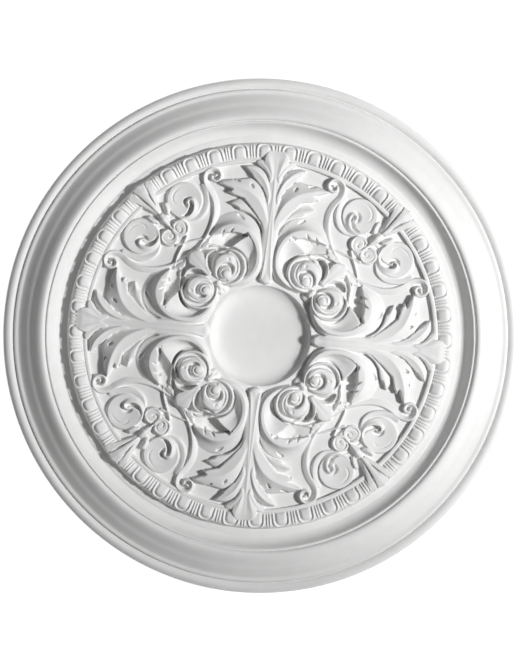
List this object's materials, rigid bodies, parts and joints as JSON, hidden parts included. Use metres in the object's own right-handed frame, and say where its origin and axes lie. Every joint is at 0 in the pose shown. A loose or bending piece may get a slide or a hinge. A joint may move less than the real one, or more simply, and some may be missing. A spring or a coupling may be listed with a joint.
{
  "type": "ceiling rose",
  "caption": "Round ceiling rose with moulded rings, an egg-and-dart band, acanthus leaves, scrolls and a plain recess in the middle.",
  "frame": {"origin": "centre of the flat back face, which is glued or screwed to the ceiling", "axes": "+Z out of the back face towards the carved side, on the axis of the rings; +Y along one leaf, +X along the next. The rose lies on its back here; fixed to a ceiling it is turned over, with +Z pointing down"},
  "size_m": [0.66, 0.66, 0.0511],
  "materials": {
    "primed_white": "factory primer on rigid moulded foam, matt and dry, ready to be painted"
  },
  "bodies": {
    "root": {"ceiling_rose": "primed_white"}
  },
  "joints": []
}
